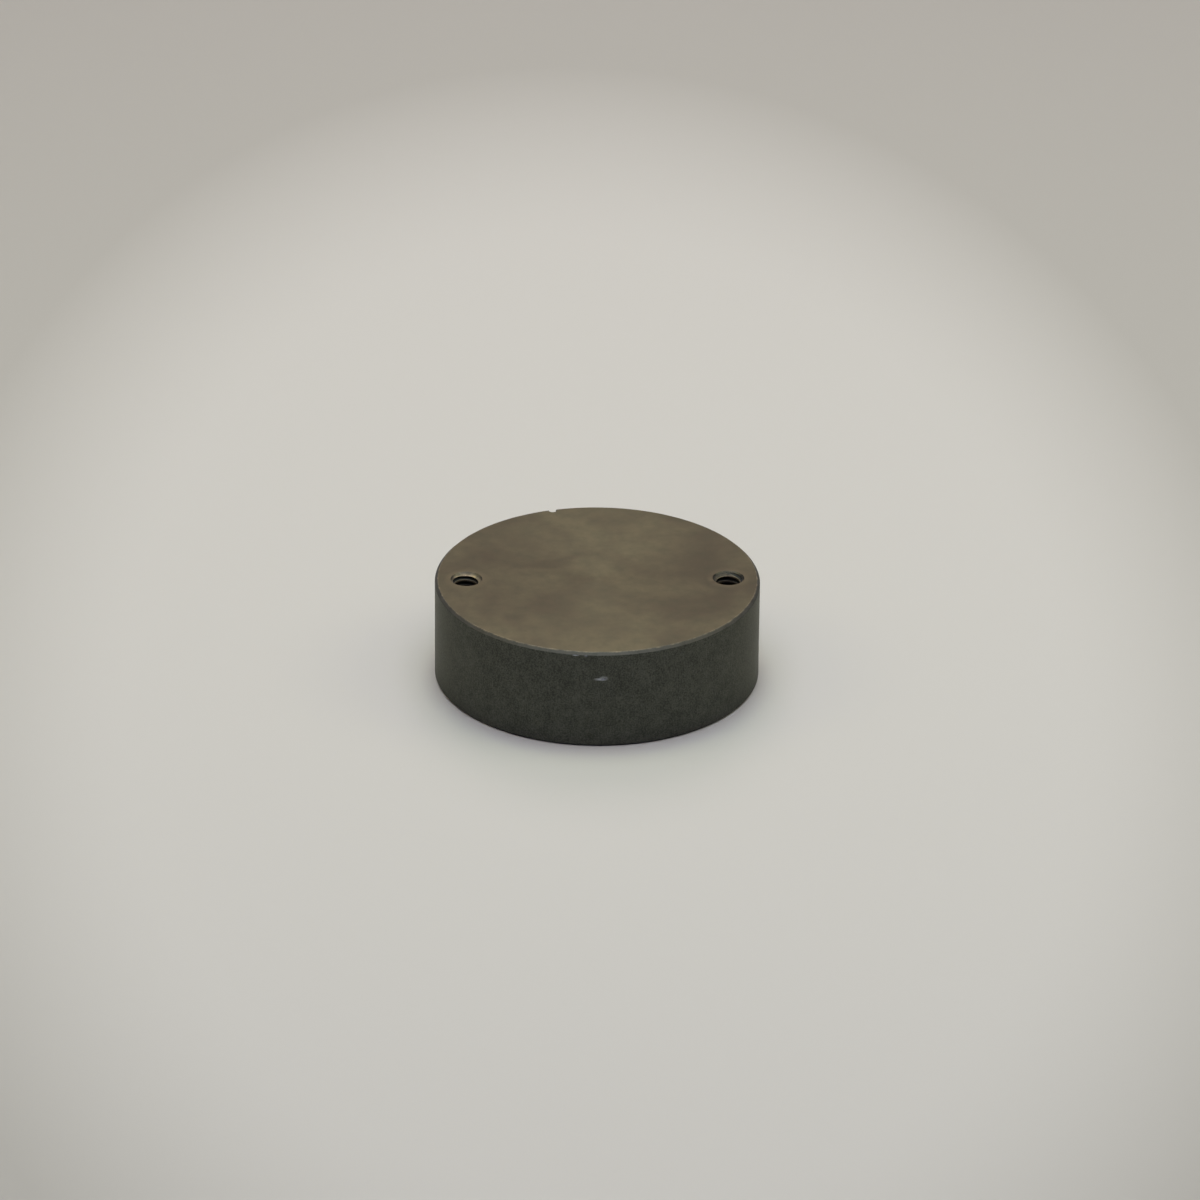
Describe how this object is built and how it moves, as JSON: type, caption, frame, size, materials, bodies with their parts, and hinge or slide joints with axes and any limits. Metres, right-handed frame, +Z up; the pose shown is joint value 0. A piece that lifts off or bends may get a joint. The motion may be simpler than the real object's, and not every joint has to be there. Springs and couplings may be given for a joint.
{
  "type": "steam trap",
  "caption": "Compact round steam trap: closed blackened steel puck with a thermostatic capsule inside, ports underneath and two tapped fixing holes through the rim.",
  "frame": {"origin": "middle of the flat mounting face underneath", "axes": "+Z up through the closed top, X through the two tapped holes"},
  "size_m": [0.0698, 0.0698, 0.0222],
  "materials": {
    "blackened_steel": "heat-blackened, mottled, satin",
    "machined_stainless": "turned",
    "hardened_stainless": "ground",
    "spring_steel": "tempered, satin",
    "stainless_sheet": "pressed sheet",
    "diaphragm_alloy": "rolled foil",
    "graphite": "dull, flaky",
    "copper": "annealed"
  },
  "bodies": {
    "trap_body": {"housing": "blackened_steel", "base_plate": "machined_stainless", "retaining_ring": "spring_steel", "body_gasket": "graphite", "inner_face_gasket": "graphite", "outer_face_gasket": "graphite", "strainer_screen": "stainless_sheet", "strainer_retainer": "spring_steel", "outlet_seat": "hardened_stainless", "seat_gasket": "copper", "capsule_carrier": "machined_stainless", "hold_down_spring": "spring_steel"},
    "capsule": {"capsule_bottom_plate": "stainless_sheet", "diaphragm_lower": "diaphragm_alloy", "diaphragm_upper": "diaphragm_alloy", "capsule_top_plate": "stainless_sheet", "fill_plug": "stainless_sheet"},
    "valve": {"valve_head": "hardened_stainless", "backing_washer": "stainless_sheet", "valve_rivet": "stainless_sheet"}
  },
  "joints": [
    {"name": "capsule_overtravel", "type": "slide", "parent": "trap_body", "child": "capsule", "axis": [0, 0, 1], "range_m": [0, 0.0008], "stiffness_N_per_m": 8000, "springref_m": -0.0005, "deforming": ["hold_down_spring"]},
    {"name": "valve_stroke", "type": "slide", "parent": "capsule", "child": "valve", "axis": [0, 0, -1], "range_m": [0, 0.00118], "stiffness_N_per_m": 3000, "springref_m": -0.0003, "deforming": ["diaphragm_lower", "diaphragm_upper"]}
  ]
}
